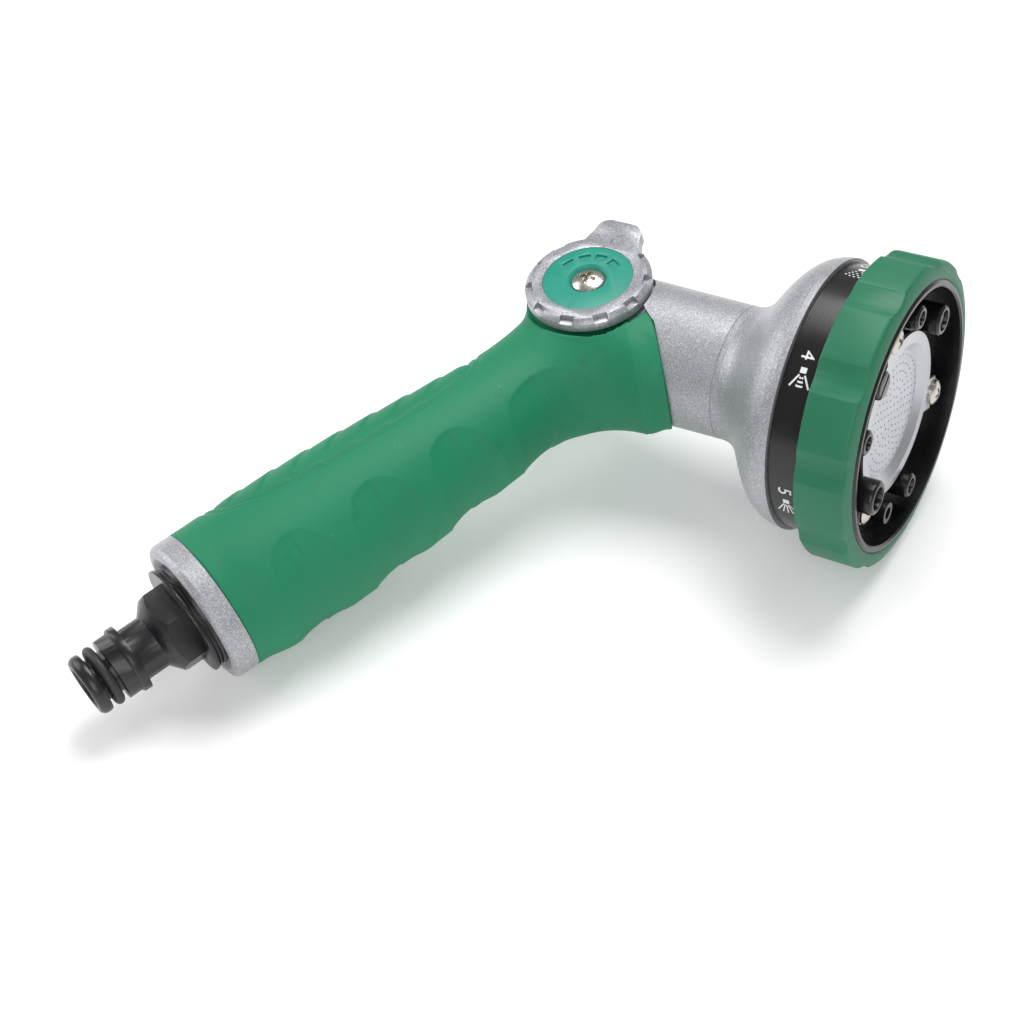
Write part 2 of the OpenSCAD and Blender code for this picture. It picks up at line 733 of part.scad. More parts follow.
// A round jet body standing on the face, with its spigot through it, bore and pin.
module jet_body(jet, front) {
    difference() {
        union() {
            translate([0, 0, face_x]) cylinder(r = jet[1] - jet_spigot, h = face_t + 0.1);
            translate([0, 0, face_x + face_t])
                cylinder(r = jet[1], h = front - face_x - face_t - 0.5);
            translate([0, 0, front - 0.5]) cylinder(r1 = jet[1], r2 = jet[1] - 0.5, h = 0.5);
        }
        if (jet[2] > 0) {
            bottom = jet[3] > 0 ? face_x + 1.2 : face_x - 2;
            translate([0, 0, bottom]) cylinder(r = jet[2], h = 40);
            if (jet[3] > 0)
                translate([jet[3] + 0.3, 0, face_x - 2]) cylinder(r = bore_r, h = 9);
        }
    }
    if (jet[3] > 0) translate([0, 0, face_x + 1])
        cylinder(r = jet[3] - 0.2, h = front - face_x - 1.6);
}

module jet_hole(jet) at_turn(jet[0], jet_circle)
    translate([0, 0, face_x - 2]) cylinder(r = jet[1] - jet_spigot, h = face_t + 4);

module face_plate() lay_down() color(black) on_head(0) {
    difference() {
        union() {
            translate([0, 0, face_x]) cylinder(r = face_r, h = face_t);
            translate([0, 0, face_x + face_t - 0.1])
                ring(rose_r - 0.4, rose_r - 1.9, rose_x - face_x - face_t + 0.1);
            for (a = screw_turns) at_turn(a, screw_circle)
                translate([0, 0, face_x + face_t - 0.1])
                    cylinder(r = 2.6, h = rose_x - face_x - face_t + 0.1);
            at_turn(drip_jet[0], jet_circle) translate([0, 0, face_x + face_t - 0.1])
                cylinder(r = drip_jet[1], h = rim_x - 1.6 - face_x - face_t);
        }
        translate([0, 0, face_x - 1]) cylinder(r = turret_hub_r, h = face_t + 2);
        for (jet = concat([cone_jet, tube_jet, flat_jet], mist_jets)) jet_hole(jet);
        for (a = screw_turns) at_turn(a, screw_circle)
            translate([0, 0, rose_x - rose_screw_len]) cylinder(r = rose_screw_r, h = 20);
        at_turn(drip_jet[0], jet_circle)
            translate([0, 0, face_x - 1]) cylinder(r = drip_jet[2], h = 20);
    }
}

module jet_tube() lay_down() color(black) on_head(0)
    at_turn(tube_jet[0], jet_circle) jet_body(tube_jet, rim_x + jet_reach);

module cone_nozzle() lay_down() color(black) on_head(0)
    at_turn(cone_jet[0], jet_circle) jet_body(cone_jet, rim_x - 0.6);

module mist_nozzles() lay_down() color(black) on_head(0)
    for (jet = mist_jets) at_turn(jet[0], jet_circle) jet_body(jet, rim_x - 1);

module flat_nozzle() lay_down() color(black) on_head(0)
    at_turn(flat_jet[0], jet_circle) difference() {
        jet_body(flat_jet, rim_x - 0.8);
        translate([0, 0, face_x - 2]) cylinder(r = 1.6, h = rim_x - face_x - 1);
        translate([-0.35, -flat_jet[1], rim_x - 3]) cube([0.7, 2 * flat_jet[1], 9]);
    }

module shower_plate() lay_down() color(steel) on_head(rose_x) difference() {
    union() {
        dish_r = perforated_r + 1.4;
        rotate_extrude() polygon([[0, -rose_step], [dish_r, -rose_step], [dish_r + 2, 0],
            [rose_r, 0], [rose_r, rose_t], [dish_r + 1.6, rose_t],
            [dish_r - 0.4, rose_t - rose_step], [0, rose_t - rose_step]]);
        for (a = screw_turns) {
            at_turn(a, screw_circle) cylinder(r = rose_ear_r, h = rose_t);
            rotate([0, 0, a]) translate([rose_r - 2, -rose_ear_r - 0.8, 0])
                cube([screw_circle - rose_r + 2, 2 * rose_ear_r + 1.6, rose_t]);
        }
    }
    for (a = screw_turns) at_turn(a, screw_circle)
        translate([0, 0, -1]) cylinder(r = rose_screw_r, h = 5);
    for (k = [0 : rose_rings]) for (i = [0 : max(0, 6 * k - 1)])
        at_turn(i * 360 / max(1, 6 * k), k * perforated_r / rose_rings)
            translate([0, 0, -rose_step - 1]) cylinder(r = rose_hole_r, h = 5, $fn = 16);
}

module shower_screws() lay_down() color(steel) on_head(rose_x + rose_t)
    for (a = screw_turns) at_turn(a, screw_circle)
        rotate([0, 0, 30]) pan_screw(3.1, 1.7, rose_screw_r, rose_screw_len + rose_t);

// Drawing

body_casting();
grip_sleeve();
inlet_adapter();
inlet_washer();
inlet_filter();
coupling_o_ring();
valve_plug();
plug_o_rings();
valve_bonnet();
stem_o_ring();
knob();
knob_insert();
knob_screw();
bell();
port_plate();
port_plate_screws();
port_seal();
port_spring();
detent_ball();
detent_spring();
pivot_o_ring();
turret();
pivot_washer();
pivot_screw();
turret_grip();
face_plate();
jet_tube();
cone_nozzle();
mist_nozzles();
flat_nozzle();
shower_plate();
shower_screws();
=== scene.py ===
import json
import math
import bmesh
import bpy
import numpy as np
from mathutils import Matrix, Vector

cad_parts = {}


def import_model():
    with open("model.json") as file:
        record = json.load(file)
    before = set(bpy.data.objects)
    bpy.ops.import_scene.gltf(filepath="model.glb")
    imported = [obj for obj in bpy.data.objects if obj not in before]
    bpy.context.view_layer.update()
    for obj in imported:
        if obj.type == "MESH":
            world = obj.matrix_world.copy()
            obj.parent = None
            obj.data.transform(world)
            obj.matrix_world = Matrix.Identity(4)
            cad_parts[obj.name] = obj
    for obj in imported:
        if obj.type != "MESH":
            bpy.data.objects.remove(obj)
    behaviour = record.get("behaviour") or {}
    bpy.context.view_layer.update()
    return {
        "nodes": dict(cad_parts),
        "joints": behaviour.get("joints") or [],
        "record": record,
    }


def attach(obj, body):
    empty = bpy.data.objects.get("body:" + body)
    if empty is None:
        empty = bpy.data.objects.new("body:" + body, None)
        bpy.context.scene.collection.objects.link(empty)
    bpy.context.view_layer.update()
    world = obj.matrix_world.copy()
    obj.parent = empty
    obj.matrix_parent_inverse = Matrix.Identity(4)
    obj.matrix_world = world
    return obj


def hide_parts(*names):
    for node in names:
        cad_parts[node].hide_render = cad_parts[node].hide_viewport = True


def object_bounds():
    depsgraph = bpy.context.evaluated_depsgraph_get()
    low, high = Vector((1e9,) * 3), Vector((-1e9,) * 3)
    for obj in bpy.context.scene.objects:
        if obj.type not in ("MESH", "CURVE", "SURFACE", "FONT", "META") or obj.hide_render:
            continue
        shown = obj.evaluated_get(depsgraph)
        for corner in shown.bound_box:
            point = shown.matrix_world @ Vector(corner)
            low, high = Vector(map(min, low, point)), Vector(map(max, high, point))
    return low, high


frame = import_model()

# Rubber grip: a soft green sleeve moulded over the handle casting and its elbow, with hollows
# for the fingers on one side and a panel of feathered ridges for the palm on the other. It is
# stretched over the casting, and ends in a plane across the neck.
joints = {j["name"]: j for j in frame["joints"]}
mounts = {m["name"]: m for m in frame["record"]["mounts"]}
elbow = np.array(joints["knob_turn"]["pos_m"])
stem = np.array(joints["knob_turn"]["axis"])
ahead = np.array(joints["turret_turn"]["axis"])
aside = np.cross(stem, ahead)
coupling = np.array(mounts["hose_coupling"]["pos_m"])
MM = 0.001


def world(points):
    """Elbow-frame points in mm (x along the head, z along the valve stem) to the row frame."""
    points = np.atleast_2d(points)
    return elbow + MM * (points @ np.stack([ahead, aside, stem]))


slope = math.acos(float((elbow - coupling) @ ahead) / float(np.linalg.norm(elbow - coupling)))
HANDLE_LEN, GRIP_END = 117.0, 112.0  # from the collar to the elbow's centre, and to the bend
COLLAR_R, PALM_R, WAIST_S, WAIST_R = 18.0, 18.9, 86.0, 14.3
GRIP_SHIFT = 2.2  # how far the waist lies towards the palm
ELBOW_R, SLEEVE_R = 18.4, 17.8
EDGE_ANGLE, EDGE_OFFSET = math.radians(34.8), 13.8  # the plane of the front edge
EDGE_BEND_Z, EDGE_BEND = 15.9, math.radians(65)
SEAT_Z, SEAT_R, BOSS_FOOT = 14.5, 16.0, 6.0  # the knob's seat on its boss
WELL_R, WELL_Z = 11.5, 13.3  # the deeper hollow under the knob's middle
CROOK = np.array([0.562, -0.827])  # from the elbow's centre towards the inside of the bend


def bezier(a, b, c, d, t):
    t = np.asarray(t)[:, None]
    u = 1 - t
    return u**3 * a + 3 * t * u**2 * b + 3 * t**2 * u * c + t**3 * d


def curve(points, steps):
    return bezier(*[np.array(p, float) for p in points], np.linspace(0, 1, steps))


grip_line = np.vstack([
    [[-2.0, COLLAR_R]],
    curve([(4, COLLAR_R), (40, PALM_R), (58, 15.9), (WAIST_S, WAIST_R)], 40),
    curve([(WAIST_S + 4, WAIST_R), (WAIST_S + 12, 14.6), (WAIST_S + 18, 15.9),
           (110, 17.2)], 20)])


def smooth(x, low, high):
    t = np.clip((x - low) / (high - low), 0, 1)
    return t * t * (3 - 2 * t)


def bump(x, mid, width):
    return np.exp(-((x - mid) / width) ** 2)


FINGER_RISE = 1.15
# Each finger's hollow: its middle from the collar, half its length and its depth.
FINGER_HOLLOWS = ((19.8, 8.6, 1.25), (42.0, 9.3, 1.45), (64.5, 8.8, 1.45), (90.5, 11.8, 1.3))
HOLLOW_TURN = 58  # half of a hollow's width round the grip, in degrees
PANEL_MID, PANEL_HALF, PANEL_TURN = 47.6, 38.5, 91
PANEL_DEPTH, PANEL_LINE, INNER_LINE, INNER_AT = 0.30, 0.5, 0.45, 0.945
FEATHER_STEP, FEATHER_H, FEATHER_SWEEP = 9.35, 0.42, 15


def grip_relief(s, turn):
    """Height of the moulded relief at s mm from the collar, turn in degrees (fingers at 90)."""
    finger = np.abs((turn - 90 + 180) % 360 - 180)
    palm = np.abs((turn + 90 + 180) % 360 - 180)
    rise = FINGER_RISE * smooth(finger, 95, 25) * smooth(s, 2, 10) * smooth(s, 110, 98)
    for mid, half, depth in FINGER_HOLLOWS:
        along = np.abs(s - mid) / half
        across = finger / HOLLOW_TURN
        power = np.where(s > mid, 2.0, 5.0)
        rise = rise - depth * np.clip(1 - along**2 - across**power, 0, 1) ** 0.75
    edge = ((np.abs(s - PANEL_MID) / PANEL_HALF) ** 3.2 + (palm / PANEL_TURN) ** 6) ** 0.25
    rise = rise - PANEL_DEPTH * smooth(edge, 1.0, 0.96)
    rise = rise - PANEL_LINE * bump(edge, 1.0, 0.014) - INNER_LINE * bump(edge, INNER_AT, 0.012)
    phase = (s + FEATHER_SWEEP * (palm / 80) ** 1.6 + 2.1) / FEATHER_STEP
    step = phase - np.floor(phase)
    feather = FEATHER_H * step**0.8 * smooth(step, 1.0, 0.88)
    return rise + feather * smooth(edge, 0.93, 0.88)


def join(a, b, soft):
    """The solid of two fields together, with a fillet of about soft mm between them."""
    h = np.clip(soft - np.abs(a - b), 0, None) / soft
    return np.minimum(a, b) - h * h * soft / 4


def trim(a, b, soft):
    """What two fields have in common, with its edge rounded over about soft mm."""
    h = np.clip(soft - np.abs(a - b), 0, None) / soft
    return np.maximum(a, b) + h * h * soft / 4


HEM_STEP = 0.22  # the sleeve is thinner in a hem along its front edge


def grip_field(points):
    """Signed distance, roughly, from the grip's outside; points in mm, in the elbow frame."""
    x, y, z = points[..., 0], points[..., 1], points[..., 2]
    along = x * math.cos(slope) + y * math.sin(slope)
    fingers = x * math.sin(slope) - y * math.cos(slope)
    s = HANDLE_LEN + along
    fingers = fingers - GRIP_SHIFT * s / WAIST_S
    radius = np.hypot(fingers, z)
    turn = np.degrees(np.arctan2(fingers, z))
    handle = radius - np.interp(s, grip_line[:, 0], grip_line[:, 1]) - grip_relief(s, turn)
    handle = np.maximum(handle, s - GRIP_END)
    to_edge = EDGE_OFFSET - x * math.cos(EDGE_ANGLE) - y * math.sin(EDGE_ANGLE)
    sleeve = SLEEVE_R + 2.6 * smooth(to_edge, 0, 6.5) * smooth(-y, 3, 16)
    head = np.maximum(np.hypot(y, z) - sleeve, -x)
    crook = x * CROOK[0] + y * CROOK[1]
    field = join(handle, head, 0.01 + 8.0 * smooth(crook, 3, 16))
    field = join(field, np.sqrt(x * x + y * y + z * z) - ELBOW_R, 1.5)
    off_axis = np.hypot(x, y)
    boss = np.maximum(np.maximum(off_axis - SEAT_R + 0.1, z - SEAT_Z), BOSS_FOOT - z)
    field = join(field, boss, 3.0)
    pocket = -np.maximum(off_axis - SEAT_R - 0.4 * (z - SEAT_Z), SEAT_Z - z)
    field = trim(field, pocket, 0.8)
    field = np.maximum(field, -np.maximum(off_axis - WELL_R, WELL_Z - z))
    lean = (z - EDGE_BEND_Z) * math.sin(EDGE_BEND) - to_edge * math.cos(EDGE_BEND)
    field = trim(field, lean, 1.2)
    return field + HEM_STEP * smooth(to_edge, 6.4, 5.9)


def heading(angle):
    return np.array([math.cos(angle), math.sin(angle)])


def stations():
    """Planes across the grip: their normal's angle, a centre in them, distance to the ends.

    They follow the handle, fan round a hinge inside the crook, then follow the neck.
    """
    hinge = 30 * CROOK
    heart, neck = np.array([4.0, -1.5]), np.array([16.8, 0.0])
    near_end = np.array([0, 0.06, 0.15, 0.3, 0.5, 0.75])
    last = float(hinge @ heading(slope))
    found = [(slope, (d - HANDLE_LEN) * heading(slope), d) for d in np.concatenate(
        [near_end, np.arange(1.05, HANDLE_LEN + last, 0.42)])]
    for t in np.linspace(0, 1, 66)[1:-1]:
        angle = slope + (EDGE_ANGLE - slope) * t
        n = heading(angle)
        target = heading(slope) * last * (1 - t) ** 1.5 + heart * t
        found.append((angle, target + n * (float(hinge @ n) - float(target @ n)), HANDLE_LEN))
    n = heading(EDGE_ANGLE)
    span = EDGE_OFFSET - float(hinge @ n)
    for d in np.concatenate([np.arange(span - 0.2, 0.9, -0.4), near_end[::-1]]):
        t = 1 - d / span
        target = heart * (1 - t) + neck * t
        found.append((EDGE_ANGLE, target + n * (EDGE_OFFSET - d - float(target @ n)), d))
    return found


def cast(centres, rays, field, reach=48.0, step=0.5):
    """Distance from each centre, along its ray, to where the field turns positive."""
    low = np.zeros(rays.shape[:-1])
    high = np.full_like(low, reach)
    unhit = np.ones_like(low, bool)
    for t in np.arange(step, reach, step):
        out = unhit & (field(centres + rays * t) > 0)
        high[out], low[out] = t, t - step
        unhit &= ~out
        if not unhit.any():
            break
    for _ in range(18):
        mid = (low + high) / 2
        out = field(centres + rays * mid[..., None]) > 0
        high, low = np.where(out, mid, high), np.where(out, low, mid)
    return (low + high) / 2


def piece(name, points, faces, body, replaced=()):
    """A mesh piece from elbow-frame points in mm, riding on its body."""
    mesh = bpy.data.meshes.new(name)
    mesh.from_pydata(world(points).tolist(), [], faces)
    mesh.shade_smooth()
    made = bpy.data.objects.new(name, mesh)
    bpy.context.scene.collection.objects.link(made)
    work = bmesh.new()
    work.from_mesh(mesh)
    bmesh.ops.recalc_face_normals(work, faces=work.faces)
    work.to_mesh(mesh)
    work.free()
    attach(made, body)
    if replaced:
        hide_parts(*replaced)
    return made


def ring_faces(rings, around):
    """Quads between closed rings of points, and from the last ring back to the first."""
    k = np.arange(around)
    n = (k + 1) % around
    faces = []
    for ring in range(rings):
        a, b = ring * around, (ring + 1) % rings * around
        faces += np.stack([a + k, a + n, b + n, b + k], 1).tolist()
    return faces


AROUND, EDGE_ROUND, RUBBER_T = 330, 0.7, 2.6
slices = stations()
angles = np.linspace(0, 2 * math.pi, AROUND, endpoint=False)
centres = np.array([[c[0], c[1], 0.0] for _, c, _ in slices])[:, None, :]
rays = np.array([[[math.sin(a) * math.sin(t), -math.sin(a) * math.cos(t), math.cos(a)]
                  for a in angles] for t, _, _ in slices])
rounding = np.clip(EDGE_ROUND - np.array([d for _, _, d in slices]), 0, None)
rounding = EDGE_ROUND - np.sqrt(EDGE_ROUND**2 - rounding**2)
hit = cast(centres, rays, grip_field) - rounding[:, None]
outside = (centres + rays * hit[..., None]).reshape(-1, 3)
inside = (centres + rays * (hit - RUBBER_T)[..., None])[::-1].reshape(-1, 3)
grip = piece("rubber_grip", np.vstack([outside, inside]), ring_faces(2 * len(slices), AROUND),
             "handle", ("grip_sleeve",))


class Wire:
    """A shader socket that works in Python sums; each operator adds a Math node."""

    def __init__(self, socket):
        self.socket = socket

    def maths(self, operation, *values):
        node = self.socket.id_data.nodes.new("ShaderNodeMath")
        node.operation = operation
        for place, value in zip(node.inputs, values):
            feed(place, value)
        return Wire(node.outputs[0])

    def __add__(self, other): return self.maths("ADD", self, other)
    def __radd__(self, other): return self.maths("ADD", other, self)
    def __sub__(self, other): return self.maths("SUBTRACT", self, other)
    def __rsub__(self, other): return self.maths("SUBTRACT", other, self)
    def __mul__(self, other): return self.maths("MULTIPLY", self, other)
    def __rmul__(self, other): return self.maths("MULTIPLY", other, self)


def feed(place, value):
    if isinstance(value, Wire):
        place.id_data.links.new(value.socket, place)
    else:
        place.default_value = value


class Finish:
    """A material under construction around one Principled shader."""

    def __init__(self, name):
        self.material = bpy.data.materials.new(name)
        self.material.use_nodes = True
        self.nodes = self.material.node_tree.nodes
        self.shader = self.nodes["Principled BSDF"]
        self.where = self.add("TexCoord", out="Object")

    def add(self, kind, settings=None, out=0, **sockets):
        """One node of any kind: settings first, then its sockets.

        Sockets go by name, with _ for a space, or by number, such as at0.
        """
        node = self.nodes.new("ShaderNode" + kind)
        for name, value in (settings or {}).items():
            setattr(node, name, value)
        for name, value in sockets.items():
            name = name.replace("_", " ")
            place = node.inputs[int(name[2:])] if name.startswith("at") else node.inputs[name]
            feed(place, value)
        return Wire(node.outputs[out])

    def noise(self, size, detail=2.0, rough=0.5):
        """Noise with grains about size mm across."""
        return self.add("TexNoise", out="Fac", Vector=self.where, Scale=1 / (size * MM),
                        Detail=detail, Roughness=rough)

    def step(self, value, low, high):
        """0 to 1 as the value goes from low to high."""
        return self.add("MapRange", {"interpolation_type": "SMOOTHSTEP"}, Value=value,
                        From_Min=low, From_Max=high)

    def blend(self, share, first, second):
        return self.add("Mix", {"data_type": "RGBA"}, out=2, at0=share, at6=first, at7=second)

    def relief(self, height, depth, normal=None):
        """A bump of depth mm for a height from 0 to 1."""
        extra = {"Normal": normal} if normal else {}
        return self.add("Bump", Height=height, Distance=depth * MM, **extra)

    def done(self, *objects, **sockets):
        for name, value in sockets.items():
            feed(self.shader.inputs[name.replace("_", " ")], value)
        for made in objects:
            made.data.materials.clear()
            made.data.materials.append(self.material)


def linear(red, green, blue):
    """An sRGB colour of 0 to 255, none of them near 0, as linear light with alpha."""
    return tuple(((c / 255 + 0.055) / 1.055) ** 2.4 for c in (red, green, blue)) + (1.0,)


rubber = Finish("soft_green_rubber")
cloud = rubber.noise(26, 3)
grime = rubber.step(rubber.noise(9, 5, 0.62), 0.60, 0.74)
speck = rubber.step(rubber.noise(1.1, 1), 0.80, 0.83)
colour = rubber.blend(cloud, linear(12, 116, 80), linear(22, 129, 92))
colour = rubber.blend(grime * 0.25, colour, linear(20, 84, 62))
colour = rubber.blend(speck * 0.5, colour, linear(120, 160, 140))
grain = rubber.noise(0.28, 2, 0.6)
pores = rubber.noise(0.9, 3, 0.55)
rubber.done(grip, Base_Color=colour, Roughness=0.50 + 0.16 * cloud,
            Normal=rubber.relief(grain, 0.02, rubber.relief(pores, 0.05)),
            Specular_IOR_Level=0.36)

# Handle casting and bell: die-cast aluminium in a silver hammer-finish paint, which dries in fine
# light and dark grains; painted glints lighten its brightest flakes to near white in the colour.
# The bell is screwed over the casting's spigot, and a hairline shows where the two meet.
cad = frame["nodes"]


def hammered(paint, wear=0):
    """The colour and the height of hammer-finish paint's grains, with painted glints on the
    brightest flakes, wear levels darker.
    """
    dark, light, painted_glint_white, deep = [linear(*(level - fade for level in colour)) for colour, fade in (
        ((136, 137, 142), wear), ((184, 185, 190), wear),
        ((232, 232, 237), wear / 2), ((104, 105, 111), wear / 2))]
    fine = paint.noise(0.24, 2, 0.6)
    flake = paint.add("TexVoronoi", {"feature": "F1"}, out="Color", Vector=paint.where,
                      Scale=1 / (0.22 * MM))
    glint = paint.add("SeparateColor", Color=flake)
    tone = paint.blend(paint.step(fine, 0.25, 0.75), dark, light)
    # Painted glints: the brightest flakes are lightened towards near white in the colour,
    # standing in for their sparkle.
    tone = paint.blend(paint.step(glint, 0.80, 0.95) * 0.40, tone, painted_glint_white)
    return paint.blend(paint.step(glint, 0.22, 0.05) * 0.35, tone, deep), fine


silver = Finish("hammered_silver_paint")
tone, fine = hammered(silver)
broad = silver.noise(16, 3)
smudge = silver.step(silver.noise(7, 5, 0.6), 0.62, 0.78)
tone = silver.blend(smudge * 0.18, tone, linear(92, 92, 96))
silver.done(cad["body_casting"], cad["bell"], Base_Color=tone, Metallic=0.45,
            Roughness=0.34 + 0.20 * broad, Normal=silver.relief(fine, 0.035),
            Coat_Weight=0.15, Coat_Roughness=0.3)

# Inlet adapter: black glass-filled nylon, screwed into the casting's socket. A hose connector
# clicks over its nose, behind the latching ring, and seals on the O-ring in its groove.
def softened(name, node, body, width, angle=32):
    """A copy of a CAD node, its edges over angle degrees broken by width mm, in its place."""
    mesh = cad[node].data.copy()
    mesh.name = name
    work = bmesh.new()
    work.from_mesh(mesh)
    bmesh.ops.remove_doubles(work, verts=work.verts, dist=0.002 * MM)
    bmesh.ops.dissolve_limit(work, angle_limit=math.radians(0.6), verts=work.verts,
                             edges=work.edges)
    work.to_mesh(mesh)
    work.free()
    mesh.shade_smooth()
    made = bpy.data.objects.new(name, mesh)
    bpy.context.scene.collection.objects.link(made)
    edge = made.modifiers.new("broken_edges", "BEVEL")
    edge.width, edge.segments = width * MM, 2
    edge.limit_method, edge.angle_limit = "ANGLE", math.radians(angle)
    edge.harden_normals = True
    edge.use_clamp_overlap = True
    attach(made, body)
    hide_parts(node)
    return made


nylon = Finish("black_nylon")
haze = nylon.noise(5, 4, 0.6)
grain = nylon.noise(0.35, 2, 0.6)
dust = nylon.step(nylon.noise(0.7, 1), 0.79, 0.83)
colour = nylon.blend(haze, linear(20, 20, 23), linear(31, 31, 35))
colour = nylon.blend(dust * 0.45, colour, linear(120, 120, 122))
adapter = softened("hose_adapter", "inlet_adapter", "handle", 0.22)
nylon.done(adapter, Base_Color=colour, Roughness=0.24 + 0.14 * haze,
           Normal=nylon.relief(grain, 0.012))

seal = Finish("black_sealing_rubber")
film = seal.noise(2.2, 4, 0.6)
colour = seal.blend(film, linear(26, 26, 28), linear(44, 44, 46))
seal.done(cad["coupling_o_ring"], cad["inlet_washer"], cad["plug_o_rings"],
          cad["stem_o_ring"], cad["port_seal"], cad["pivot_o_ring"], Base_Color=colour,
          Roughness=0.42 + 0.2 * film, Normal=seal.relief(seal.noise(0.3, 2), 0.01))

# Valve: a moulded plug with two ports turns in the elbow, held down by a turned brass bonnet.
# Its stem passes through the bonnet and carries the knob.
valve = Finish("teal_acetal")
haze = valve.noise(4, 3)
colour = valve.blend(haze, linear(28, 150, 118), linear(44, 166, 134))
valve.done(cad["valve_plug"], Base_Color=colour, Roughness=0.34 + 0.14 * haze,
           Normal=valve.relief(valve.noise(0.4, 2), 0.01))
brass = Finish("turned_brass")
lines = brass.noise(0.5, 3)
colour = brass.blend(lines, linear(176, 138, 70), linear(214, 178, 104))
brass.done(cad["valve_bonnet"], Base_Color=colour, Metallic=1.0,
           Roughness=0.24 + 0.2 * lines, Normal=brass.relief(lines, 0.01))

# Knob: a die-cast ring with a thumb tab and notches round its rim, in the same silver paint,
# worn through in small dark chips. A teal insert with the flow marks is pressed in.
knob = softened("flow_knob_ring", "knob", "flow_knob", 0.3)
worn = Finish("worn_silver_paint")
tone, fine = hammered(worn, 4)
chips = worn.step(worn.noise(1.3, 4, 0.7), 0.60, 0.66) * worn.step(worn.noise(6, 2), 0.45, 0.6)
tone = worn.blend(chips * 0.75, tone, linear(52, 50, 52))
worn.done(knob, Base_Color=tone, Metallic=0.45, Roughness=0.36 + 0.25 * chips,
          Normal=worn.relief(fine, 0.035, worn.relief(1 - chips, 0.05)), Coat_Weight=0.15,
          Coat_Roughness=0.3)
insert = softened("flow_mark_insert", "knob_insert", "flow_knob", 0.12)
teal = Finish("teal_insert_plastic")
haze = teal.noise(7, 4)
colour = teal.blend(haze, linear(12, 132, 112), linear(20, 144, 124))
dirt = teal.step(teal.noise(2.2, 5, 0.65), 0.64, 0.74)
colour = teal.blend(dirt * 0.22, colour, linear(20, 84, 70))
teal.done(insert, Base_Color=colour, Roughness=0.40 + 0.14 * haze,
          Normal=teal.relief(teal.noise(0.4, 2), 0.012))

# Screws: cross-recess pan heads in bright nickel plate. One holds the knob on its stem, three
# hold the shower plate, and three more are hidden in the head.
nickel = Finish("nickel_plate")
scuff = nickel.noise(0.6, 4, 0.65)
colour = nickel.blend(scuff, linear(176, 170, 160), linear(216, 212, 204))
nickel_set = [softened("knob_pan_screw", "knob_screw", "flow_knob", 0.14),
              softened("shower_pan_screws", "shower_screws", "spray_turret",
                       0.14)]
nickel.done(*nickel_set, cad["port_plate_screws"], cad["pivot_screw"], Base_Color=colour,
            Metallic=1.0, Roughness=0.16 + 0.22 * scuff, Normal=nickel.relief(scuff, 0.015))

# Port plate, turret and spray face: semi-gloss black ABS. The turret turns on the port plate's
# post, and the nozzles are moulded one by one and pressed into its face.
abs_black = Finish("black_abs")
haze = abs_black.noise(8, 4, 0.6)
dust = abs_black.step(abs_black.noise(0.8, 2), 0.76, 0.80)
colour = abs_black.blend(haze, linear(13, 13, 15), linear(23, 23, 26))
colour = abs_black.blend(dust * 0.4, colour, linear(110, 110, 112))
nozzles = [softened("soft_" + node, node, "spray_turret", 0.45)
           for node in ("jet_tube", "cone_nozzle", "mist_nozzles", "flat_nozzle")]
abs_black.done(cad["turret"], cad["port_plate"], cad["face_plate"], *nozzles,
               Base_Color=colour, Roughness=0.19 + 0.14 * haze,
               Normal=abs_black.relief(abs_black.noise(0.5, 2), 0.01))

# Label band: each of the six patterns has a printed white numeral and a small picture of its
# spray on the turret's black band, behind the grip ring.
BAND_R, BAND_BACK = 31.8, 4.0  # its middle is behind the turret's bearing
BAND_MID = float((np.array(joints["turret_turn"]["pos_m"]) - elbow) @ ahead) / MM - BAND_BACK
FIRST_MARK, MARK_STEP = 34, 60  # degrees round the head
NUMERAL_SIZE, NUMERAL_AT, INK_RISE = 4.6, (-3.4, -1.6), 0.05
JET_NEAR, JET_FAR, JET_W = 1.3, 4.6, 0.42  # a jet's ends, from the pictured nozzle
DROP_NEAR, DROP_STEP = 1.6, 0.95


def bar(start, end, width):
    """The four corners of a straight mark, as (along the band, across it) in mm."""
    start, end = np.array(start, float), np.array(end, float)
    along = (end - start) / np.linalg.norm(end - start)
    side = np.array([-along[1], along[0]]) * width / 2
    return [start - side, end - side, end + side, start + side]


def jets(count, spread, width=JET_W):
    """Straight jets spreading from a nozzle over so many degrees."""
    turns = [math.radians(spread * (i / max(1, count - 1) - 0.5)) for i in range(count)]
    return [bar((JET_NEAR * math.cos(a), JET_NEAR * math.sin(a)),
                (JET_FAR * math.cos(a), JET_FAR * math.sin(a)), width) for a in turns]


def drops(rows, spread):
    """Rows of drops spreading from a nozzle over so many degrees."""
    found = []
    for row in range(rows):
        far = DROP_NEAR + DROP_STEP * row
        for a in np.radians(np.linspace(-spread / 2, spread / 2, row + 2)):
            at = far * math.cos(a), far * math.sin(a)
            found.append(bar(at, (at[0] + JET_W, at[1]), JET_W))
    return found


sprays = [jets(1, 0), jets(3, 44), drops(4, 56), jets(2, 60) + drops(3, 20),
          jets(5, 62, 0.3), drops(3, 30)]
mark_points, mark_faces = [], []


def print_mark(corners, turn):
    """One flat mark that stands a little proud of the band, with its sides sunk into it."""
    first = len(mark_points)
    for radius in (BAND_R - INK_RISE, BAND_R + INK_RISE):
        for u, v in corners:
            a = math.radians(turn) + u / BAND_R
            mark_points.append((BAND_MID + v, radius * math.sin(a), -radius * math.cos(a)))
    n = len(corners)
    mark_faces.append([first + i for i in range(n)][::-1])
    mark_faces.append([first + n + i for i in range(n)])
    for i in range(n):
        j = (i + 1) % n
        mark_faces.append([first + i, first + j, first + n + j, first + n + i])


